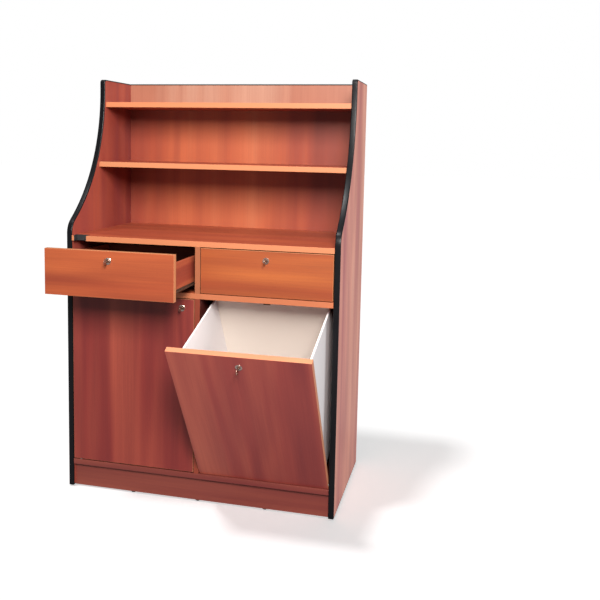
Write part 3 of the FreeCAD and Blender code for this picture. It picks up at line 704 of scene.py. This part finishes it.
class CABINET_OT_bin(bpy.types.Operator):
    """White bin walls with their screws, battens and stops"""

    bl_idname = "cabinet.bin"
    bl_label = "Bin"

    def execute(self, context):
        finish = context.scene.cabinet_finish
        white = melamine("bin_white_board", tuple(finish.bin_white), 0.0)
        # Painted bounce light: the back wall takes a cream tone for warm light bounced onto it from
        # the wood.
        cream = melamine("bin_cream_board", tuple(finish.bin_bounce_cream), 1.0)
        for node in ("bin_side_left", "bin_side_right", "bin_floor"):
            dress(node, white)
        dress("bin_back_wall", cream)
        dress("bin_battens", veneer("batten_wood", wood_tones(finish, 1.1, 1.5, 1.5), Z, X, 151.0))
        rubber = plastic("stop_rubber", (0.02, 0.02, 0.022), 0.55, 420.0)
        dress("bin_stop_blocks", rubber)
        dress("bin_stop_pegs", rubber)
        self.screws(context.scene.cabinet_fittings)
        return {"FINISHED"}

    @staticmethod
    def screws(fittings):
        """Dark cross heads on the screws through each side wall into its batten."""
        shape = bmesh.new()
        head = cross_head(*SCREW_HEAD, fittings.recess)
        for low, high in solids("bin_wall_screws"):
            middle = (low + high) / 2
            outward = X if middle.x > PIVOT.x else -X
            copied(shape, head, facing(middle - outward * (high.x - low.x) / 2, outward))
        head.free()
        dark = metal("browned_screws", (0.10, 0.09, 0.085), 0.35)
        piece("bin_wall_screw_heads", shape, "bin", dark, ("bin_wall_screws",))


# ---- locks ----
LOCKS = (
    ("drawer_left", "drawer_left_lock_turn"),
    ("drawer_right", "drawer_right_lock_turn"),
    ("door", "door_lock_turn"),
    ("bin", "bin_lock_turn"),
)
LOCK_DEPTH = 22.0 * MM
LOCK_BORE = 6.05 * MM
LOCK_BARREL = 9.0 * MM
LOCK_HEAD = 11.0 * MM
BOW_MIDDLE = -17.5 * MM
BOW_RINGS = ((10.0 * MM, 0.0), (2.6 * MM, -5.0 * MM))  # radius, place from the bow's middle
CAM_HALF = 7.0 * MM
CAM_NEAR, CAM_FAR = 24.0 * MM, 27.0 * MM
CAM_CORNER = 1.2 * MM
CAM_SCREW = 3.0 * MM


def lock_matrix(turn_name):
    """Places a lock made round +Y, its head's seat at y = 0."""
    item = joint(turn_name)
    turn = Y.rotation_difference(Vector(item["axis"])).to_matrix().to_4x4()
    return Matrix.Translation(item["pos_m"]) @ turn


class CABINET_OT_lock_cases(bpy.types.Operator):
    """Turned lock heads with a raised rim, their cases and ring nuts"""

    bl_idname = "cabinet.lock_cases"
    bl_label = "Lock cases"

    def execute(self, context):
        fittings = context.scene.cabinet_fittings
        # Painted reflection: the plating's warm pink tone stands in for the red wood it reflects.
        chrome_with_wood_reflection = metal("lock_plating", (0.80, 0.66, 0.58), 0.06, (900.0, 60.0, 900.0))
        rim = fittings.rim
        case = [
            (LOCK_BORE, -1.1 * MM), (6.5 * MM, -1.5 * MM), (8.3 * MM, -1.5 * MM),
            (8.6 * MM, -1.1 * MM), (LOCK_HEAD - rim, -1.0 * MM), (11.1 * MM - rim, -1.4 * MM),
            (10.2 * MM, -1.5 * MM), (10.8 * MM, -1.1 * MM), (LOCK_HEAD, -0.4 * MM),
            (LOCK_HEAD, 0.0), (LOCK_BARREL, 0.0), (LOCK_BARREL, LOCK_DEPTH),
            (8.6 * MM, LOCK_DEPTH), (LOCK_BORE, LOCK_DEPTH),
        ]
        nut = in_mm((9.02, 18.0), (11.9, 18.0), (12.0, 18.3), (12.0, 20.2), (11.6, 20.5),
                    (9.02, 20.5))
        for body, turn_name in LOCKS:
            shape = bmesh.new()
            lathe(shape, case, 56, closed=True)
            lathe(shape, nut, 12, closed=True)
            bmesh.ops.transform(shape, matrix=lock_matrix(turn_name), verts=shape.verts)
            piece(body + "_lock_head", shape, body, chrome_with_wood_reflection, (body + "_lock_case",))
        return {"FINISHED"}


class CABINET_OT_keys(bpy.types.Operator):
    """Keys in their plugs, with the cams that turn behind the fronts"""

    bl_idname = "cabinet.keys"
    bl_label = "Keys and cams"

    def execute(self, context):
        fittings = context.scene.cabinet_fittings
        # Painted reflection: the key's dark, warm tone stands in for the red wood it reflects.
        steel = metal("key_steel", (0.42, 0.27, 0.21), 0.16, (60.0, 900.0, 900.0))
        zinc = metal("cam_zinc", (0.62, 0.62, 0.60), 0.30)
        for body, turn_name in LOCKS:
            place = lock_matrix(turn_name)
            key = self.key(fittings)
            bmesh.ops.transform(key, matrix=place, verts=key.verts)
            piece(body + "_key", key, body + "_lock", steel,
                  (body + "_lock_key_and_cam",))
            cam = self.cam(self.reach(body))
            bmesh.ops.transform(cam, matrix=place, verts=cam.verts)
            piece(body + "_cam", cam, body + "_lock", zinc)
        return {"FINISHED"}

    @staticmethod
    def reach(body):
        """How far the cam reaches left of its axis."""
        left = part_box(body + "_lock_key_and_cam")[0].x
        return joint(body + "_lock_turn")["pos_m"][0] - left

    @staticmethod
    def key(fittings):
        """The lock's plug, then the key's neck, its shoulder and its pierced bow."""
        shape = bmesh.new()
        plug = in_mm((0.0, 22.0), (5.9, 22.0), (6.0, 21.6), (6.0, -1.2), (5.6, -1.5), (4.2, -1.5),
                     (4.0, -1.2), (0.0, -1.2))
        steps = 40
        lathe(shape, plug, steps)
        half = 1.0 * MM
        neck = ((-half, -9.0 * MM, -3.0 * MM), (half, -0.9 * MM, 3.0 * MM))
        shoulder = ((-1.2 * MM, -4.4 * MM, -3.9 * MM), (1.2 * MM, -3.0 * MM, 3.9 * MM))
        for low, high in (neck, shoulder):
            block(shape, low, high, fittings.key_edge)
        bow = Matrix.Translation((0.0, BOW_MIDDLE, 0.0))
        loops = []
        for radius, centre in BOW_RINGS:
            shift = bow @ Matrix.Translation((0.0, centre, 0.0))
            for side in (-half, half):
                loops.append(ring(shape, radius, side, steps, X))
                bmesh.ops.transform(shape, matrix=shift, verts=loops[-1])
        outer_left, outer_right, inner_left, inner_right = loops
        pairs = ((outer_left, outer_right), (outer_left, inner_left), (outer_right, inner_right),
                 (inner_left, inner_right))
        for first, second in pairs:
            bridge(shape, first, second)
        rims = loop_edges(outer_left) + loop_edges(outer_right)
        round_edges(shape, rims, fittings.key_edge)
        return shape

    @staticmethod
    def cam(reach):
        """Pressed cam with a rounded end, the plug's tail before it and its screw behind it."""
        shape = bmesh.new()
        half, end, corner = CAM_HALF, reach - CAM_CORNER, CAM_CORNER
        steps = 16
        outline = [(half * math.sin(t), half * math.cos(t))
                   for t in (math.pi * step / steps for step in range(steps + 1))]
        outline += [(-end, -half), (-end - corner, -half + corner), (-end - corner, half - corner),
                    (-end, half)]
        face = shape.faces.new([shape.verts.new((x, CAM_NEAR, z)) for x, z in outline])
        grown = bmesh.ops.extrude_face_region(shape, geom=[face])
        moved = [item for item in grown["geom"] if isinstance(item, bmesh.types.BMVert)]
        bmesh.ops.translate(shape, verts=moved, vec=(0.0, CAM_FAR - CAM_NEAR, 0.0))
        edges = [e for e in shape.edges if abs(e.verts[0].co.y - e.verts[1].co.y) < MERGE]
        round_edges(shape, edges, 0.35 * MM)
        tail = [(0.0, CAM_NEAR), (CAM_SCREW, CAM_NEAR), (CAM_SCREW, LOCK_DEPTH), (0.0, LOCK_DEPTH)]
        lathe(shape, tail, 24)
        head = cross_head(CAM_SCREW, 3.0 * MM, 1.2 * MM)
        copied(shape, head, facing((0.0, CAM_FAR, 0.0), Y))
        head.free()
        return shape


class CABINET_OT_strikes(bpy.types.Operator):
    """Finishes the strikes, pins and bushes"""

    bl_idname = "cabinet.strikes"
    bl_label = "Strikes, pins and bushes"

    def execute(self, context):
        steel = metal("bright_steel", (0.66, 0.66, 0.67), 0.22)
        # Painted shade: the strikes are near black, for the dark inside of the cabinet where they
        # sit.
        shade_darkened_steel = metal("bronzed_steel", (0.07, 0.05, 0.04), 0.30)
        nylon = plastic("white_nylon", (0.78, 0.77, 0.73), 0.35)
        dress("lock_strikes", shade_darkened_steel)
        for node in ("door_pivot_pins", "bin_pivot_pins"):
            dress(node, steel)
        for node in ("bin_pivot_bushes", "door_pivot_bushes"):
            dress(node, nylon)
        return {"FINISHED"}


# ---- small fittings ----
def heads(name, node, towards, head, material):
    """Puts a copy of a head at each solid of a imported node, seated on its far side."""
    shape = bmesh.new()
    for low, high in solids(node):
        middle = (low + high) / 2
        reach = abs((high - low).dot(towards)) / 2
        copied(shape, head, facing(middle - towards * reach, towards))
    head.free()
    piece(name, shape, "carcass", material, (node,))


class CABINET_OT_screws(bpy.types.Operator):
    """Cross-head screws of the backs and the connector cams under the boards"""

    bl_idname = "cabinet.screws"
    bl_label = "Screws and connector cams"

    def execute(self, context):
        fittings = context.scene.cabinet_fittings
        plated = metal("plated_screws", (0.70, 0.66, 0.52), 0.25)
        head = cross_head(*SCREW_HEAD, fittings.recess)
        heads("back_screw_heads", "back_screws", Y, head, plated)
        zinc = metal("cast_zinc", (0.60, 0.60, 0.59), 0.34)
        disc = cross_head(7.5 * MM, 12.0 * MM, 3.0 * MM, 0.85)
        heads("connector_cams", "cam_fittings", -Z, disc, zinc)
        return {"FINISHED"}


class CABINET_OT_glides(bpy.types.Operator):
    """Domed glides, the pins of the inner shelf and the liner of the cable notch"""

    bl_idname = "cabinet.glides"
    bl_label = "Glides and shelf pins"

    def execute(self, context):
        dark = plastic("glide_plastic", (0.035, 0.033, 0.03), 0.4)
        shape = bmesh.new()
        foot = bmesh.new()
        lathe(foot, in_mm((0.0, 0.0), (5.0, 0.0), (7.0, 0.5), (8.0, 2.0), (8.0, 4.2), (7.4, 5.0),
                          (0.0, 5.0)), 32, Z)
        for low, high in solids("floor_glides"):
            middle = (low + high) / 2
            copied(shape, foot, Matrix.Translation((middle.x, middle.y, low.z)))
        foot.free()
        piece("floor_glide_feet", shape, "carcass", dark, ("floor_glides",))
        pins = bmesh.new()
        nickel = metal("nickel_pins", (0.74, 0.72, 0.68), 0.18)
        for low, high in solids("shelf_pins"):
            middle = (low + high) / 2
            outline = [(0.0, low.x), (2.2 * MM, low.x), (2.5 * MM, low.x + 0.4 * MM),
                       (2.5 * MM, high.x - 0.4 * MM), (2.2 * MM, high.x), (0.0, high.x)]
            made = lathe(pins, outline, 20, X)
            bmesh.ops.translate(pins, verts=made, vec=(0.0, middle.y, middle.z))
        piece("shelf_pin_set", pins, "carcass", nickel, ("shelf_pins",))
        liner = plastic("liner_plastic", (0.012, 0.012, 0.013), 0.35)
        dress("cable_notch_liner", liner)
        return {"FINISHED"}


class CABINET_OT_runners(bpy.types.Operator):
    """Painted drawer runners and their rollers"""

    bl_idname = "cabinet.runners"
    bl_label = "Runners and rollers"

    def execute(self, context):
        paint = enamel("runner_paint", (0.045, 0.026, 0.018))
        nylon = plastic("roller_nylon", (0.80, 0.79, 0.76), 0.32)
        for side in ("left", "right"):
            drawer = "drawer_" + side
            dress(drawer + "_runners", paint)
            dress(drawer + "_cabinet_runners", paint)
            for end in ("rear", "front"):
                node = drawer + "_" + end + "_rollers"
                shape = bmesh.new()
                for low, high in solids(node):
                    self.roller(shape, low, high)
                piece(node + "_wheels", shape, node, nylon, (node,))
        return {"FINISHED"}

    @staticmethod
    def roller(shape, low, high):
        """A wheel with a rounded tread and a sunk web on each face."""
        middle = (low + high) / 2
        radius = (high.z - low.z) / 2
        half = (high.x - low.x) / 2
        bore, web = 2.05 * MM, half - 0.8 * MM
        profile = [(bore, half), (3.4 * MM, half), (3.6 * MM, web),
                   (radius - 1.8 * MM, web), (radius - 1.6 * MM, half),
                   (radius - 0.5 * MM, half), (radius, half - 0.6 * MM)]
        profile += [(r, -x) for r, x in reversed(profile)]
        made = lathe(shape, profile, 40, X, closed=True)
        bmesh.ops.translate(shape, verts=made, vec=middle)


# ---- stage ----
FLOOR_REACH = 30.0
FLOOR_SEEN, FLOOR_BOUNCE = (0.92, 0.92, 0.92), (0.30, 0.30, 0.30)
GLOW_BOUNCE = (0.34, 0.34, 0.36)
OVERHEAD, OVERHEAD_SPREAD = (-0.26, -0.23, 0.94), 7.0
BESIDE, BESIDE_SPREAD = (1.0, -0.06, 0.30), 40.0
BOX_SIZE, BOX_COLOUR = 1.2, (1.0, 0.97, 0.93)
BOX_PLACE, BOX_AIM = (1.0, -2.50, 2.35), (0.0, 0.1, 0.95)
VIEW_PLACE, VIEW_TURN = (0.8703, -2.4134, 1.2034), (-6.067, -1.069, 13.99)
VIEW_SHIFT = (0.0308, -0.12)
SENSOR = 36.0


class CABINET_OT_stage(bpy.types.Operator):
    """Pale floor, soft light from above and from the right, and the view"""

    bl_idname = "cabinet.stage"
    bl_label = "Stage"

    def execute(self, context):
        stage = context.scene.cabinet_stage
        paper = self.floor(stage.paper)
        self.sun("key_light", OVERHEAD, stage.key, OVERHEAD_SPREAD)
        for lamp in (self.soft_box(stage.box),
                     self.sun("fill_light", BESIDE, stage.fill, BESIDE_SPREAD)):
            self.spare(lamp, paper)
        self.world(stage.sky)
        self.camera(stage.lens)
        context.scene.view_settings.view_transform = "Standard"
        return {"FINISHED"}

    @staticmethod
    def floor(glow):
        """White paper that glows, whiter in the view than in the light it gives the cabinet."""
        shape = bmesh.new()
        bmesh.ops.create_grid(shape, x_segments=8, y_segments=8, size=FLOOR_REACH)
        mesh = bpy.data.meshes.new("floor")
        shape.to_mesh(mesh)
        shape.free()
        made = bpy.data.objects.new("floor", mesh)
        graph = Graph("floor_paper", Specular_IOR_Level=0.1, Emission_Strength=glow)
        cloud = graph.noise(graph.place(), 0.8, 2.0)
        seen = graph.add("ShaderNodeLightPath", {}, {}, "Is Camera Ray")
        shade = graph.mix(seen, FLOOR_BOUNCE, FLOOR_SEEN)
        colour = graph.mix(cloud * 0.05, shade, WHITE)
        lit = graph.mix(seen, GLOW_BOUNCE, WHITE)
        mesh.materials.append(graph.finish(Base_Color=colour, Emission_Color=lit,
                                           Roughness=cloud * 0.1 + 0.8))
        bpy.context.scene.collection.objects.link(made)
        return made

    @staticmethod
    def spare(lamp, paper):
        """Keeps a lamp's light off the paper, where it would wash the shadow out."""
        lit = bpy.data.collections.new(lamp.name + "_reach")
        lit.objects.link(paper)
        lit.collection_objects[0].light_linking.link_state = "EXCLUDE"
        lamp.light_linking.receiver_collection = lit

    @staticmethod
    def soft_box(power):
        """Large square light above and in front of the cabinet, to its right."""
        light = bpy.data.lights.new("soft_box", "AREA")
        light.energy = power
        light.size = BOX_SIZE
        light.color = BOX_COLOUR
        made = bpy.data.objects.new("soft_box", light)
        made.location = BOX_PLACE
        aim = Vector(made.location) - Vector(BOX_AIM)
        made.rotation_euler = aim.to_track_quat("Z", "Y").to_euler()
        bpy.context.scene.collection.objects.link(made)
        return made

    @staticmethod
    def sun(name, source, strength, spread):
        """Even light from a direction, its shadows softened by a spread in degrees."""
        light = bpy.data.lights.new(name, "SUN")
        light.energy = strength
        light.angle = math.radians(spread)
        made = bpy.data.objects.new(name, light)
        made.rotation_euler = Vector(source).to_track_quat("Z", "Y").to_euler()
        bpy.context.scene.collection.objects.link(made)
        return made

    @staticmethod
    def world(strength):
        """Even white light. The view sees a full white backdrop, whatever the strength."""
        world = bpy.data.worlds.new("studio")
        world.use_nodes = True
        bpy.context.scene.world = world
        nodes, links = world.node_tree.nodes, world.node_tree.links
        background = nodes["Background"]
        background.inputs["Color"].default_value = (*WHITE, 1.0)
        path = nodes.new("ShaderNodeLightPath")
        level = nodes.new("ShaderNodeMapRange")
        level.inputs["To Min"].default_value = strength
        level.inputs["To Max"].default_value = 1.0
        links.new(path.outputs["Is Camera Ray"], level.inputs["Value"])
        links.new(level.outputs["Result"], background.inputs["Strength"])

    @staticmethod
    def camera(lens):
        """The view: lean, roll and heading turn it from a level look along +Y."""
        view = bpy.data.cameras.new("view")
        view.lens = lens
        view.sensor_width = SENSOR
        view.shift_x, view.shift_y = VIEW_SHIFT
        made = bpy.data.objects.new("view", view)
        angles = [math.radians(value) for value in VIEW_TURN]
        turn = Euler(angles).to_matrix() @ Matrix.Rotation(math.pi / 2, 3, "X")
        made.matrix_world = Matrix.Translation(VIEW_PLACE) @ turn.to_4x4()
        bpy.context.scene.collection.objects.link(made)
        bpy.context.scene.camera = made


OPERATORS = (
    CABINET_OT_carcass, CABINET_OT_backs, CABINET_OT_fronts, CABINET_OT_edging,
    CABINET_OT_drawers, CABINET_OT_bin, CABINET_OT_lock_cases, CABINET_OT_keys,
    CABINET_OT_strikes, CABINET_OT_screws, CABINET_OT_glides, CABINET_OT_runners,
    CABINET_OT_stage,
)
GROUPS = (
    ("cabinet_finish", CabinetFinish),
    ("cabinet_fittings", CabinetFittings),
    ("cabinet_stage", CabinetStage),
)


class CABINET_PT_sidebar(bpy.types.Panel):
    """Lists the cabinet's pieces and settings"""

    bl_idname = "CABINET_PT_sidebar"
    bl_label = "Library cabinet"
    bl_space_type = "VIEW_3D"
    bl_region_type = "UI"
    bl_category = "Cabinet"

    def draw(self, context):
        for name, group in GROUPS:
            for setting in group.__annotations__:
                self.layout.prop(getattr(context.scene, name), setting)
        for operator in OPERATORS:
            self.layout.operator(operator.bl_idname)


def register():
    for name, group in GROUPS:
        bpy.utils.register_class(group)
        setattr(bpy.types.Scene, name, bpy.props.PointerProperty(type=group))
    for operator in OPERATORS:
        bpy.utils.register_class(operator)
    bpy.utils.register_class(CABINET_PT_sidebar)


def unregister():
    bpy.utils.unregister_class(CABINET_PT_sidebar)
    for operator in reversed(OPERATORS):
        bpy.utils.unregister_class(operator)
    for name, group in reversed(GROUPS):
        delattr(bpy.types.Scene, name)
        bpy.utils.unregister_class(group)


def main():
    register()
    for operator in OPERATORS:
        family, action = operator.bl_idname.split(".")
        getattr(getattr(bpy.ops, family), action)()


if __name__ == "__main__":
    main()
